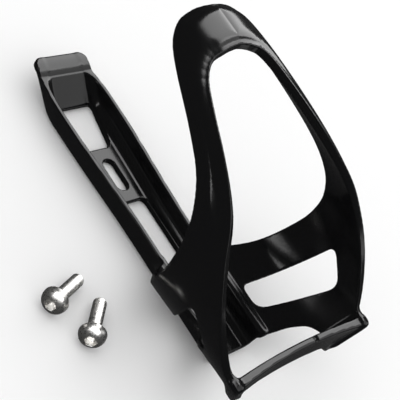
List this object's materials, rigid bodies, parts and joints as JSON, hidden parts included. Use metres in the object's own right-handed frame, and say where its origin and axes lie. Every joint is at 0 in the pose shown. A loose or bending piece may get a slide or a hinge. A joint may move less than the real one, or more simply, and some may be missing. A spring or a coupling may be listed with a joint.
{
  "type": "water bottle cage",
  "caption": "Moulded bicycle water bottle cage with a slotted backbone, a wrap-around loop and loose socket bolts.",
  "frame": {"origin": "on the rear face that meets the frame tube, on the centre line, between the upper slot and the lower window", "axes": "+X across the cage, +Y up the bottle's axis, +Z away from the frame tube, through the loop"},
  "size_m": [0.1036, 0.1516, 0.086],
  "materials": {
    "cage_plastic": "glossy black injection-moulded plastic",
    "bolt_steel": "satin stainless steel"
  },
  "bodies": {
    "cage": {"backbone": "cage_plastic", "right_wall": "cage_plastic", "left_wall": "cage_plastic", "front_loop": "cage_plastic", "cross_bar": "cage_plastic"},
    "upper_bolt": {"upper_bolt": "bolt_steel"},
    "lower_bolt": {"lower_bolt": "bolt_steel"}
  },
  "joints": [
    {"name": "upper_bolt_lift", "type": "slide", "parent": "cage", "child": "upper_bolt", "axis": [0, 0, 1], "range_m": [0, 0.06]},
    {"name": "lower_bolt_lift", "type": "slide", "parent": "cage", "child": "lower_bolt", "axis": [0, 0, 1], "range_m": [0, 0.06]}
  ]
}
